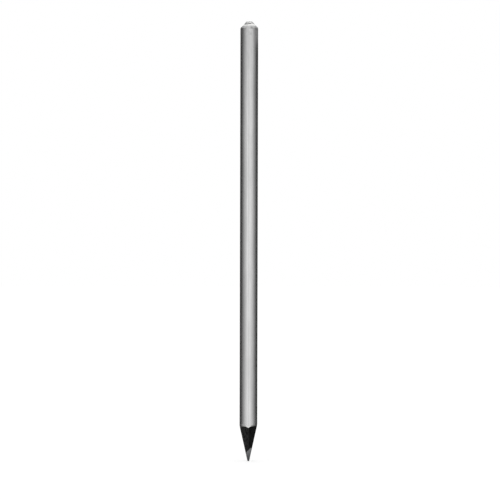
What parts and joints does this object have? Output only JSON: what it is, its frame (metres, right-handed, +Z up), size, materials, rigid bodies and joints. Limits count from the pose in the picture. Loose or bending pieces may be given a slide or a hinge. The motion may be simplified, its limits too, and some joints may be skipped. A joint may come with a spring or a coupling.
{
  "type": "round wood-cased pencil",
  "caption": "Round sharpened graphite pencil in a black wood casing, lacquered satin silver, with a faceted clear stone set in its rounded end.",
  "frame": {"origin": "the writing tip, on the barrel's axis", "axes": "+Z runs up the barrel from the tip to the stone; the slats meet in the plane x = 0, with seams at the front (-Y) and the back (+Y)"},
  "size_m": [0.0072, 0.0072, 0.1781],
  "materials": {
    "dyed_wood_left": "sharpened, open grain",
    "dyed_wood_right": "sharpened, open grain",
    "wood_glue": "matt",
    "graphite": "burnished",
    "primer": "matt",
    "silver_lacquer": "satin metallic",
    "silver_dip": "satin metallic",
    "crystal": "polished facets",
    "foil": "mirror",
    "bond": "milky, glossy"
  },
  "bodies": {
    "root": {"slat_left": "dyed_wood_left", "slat_right": "dyed_wood_right", "glue_film": "wood_glue", "lead": "graphite", "primer_coat": "primer", "silver_coat": "silver_lacquer", "end_dip": "silver_dip", "crystal": "crystal", "foil_back": "foil", "crystal_bond": "bond"}
  },
  "joints": []
}
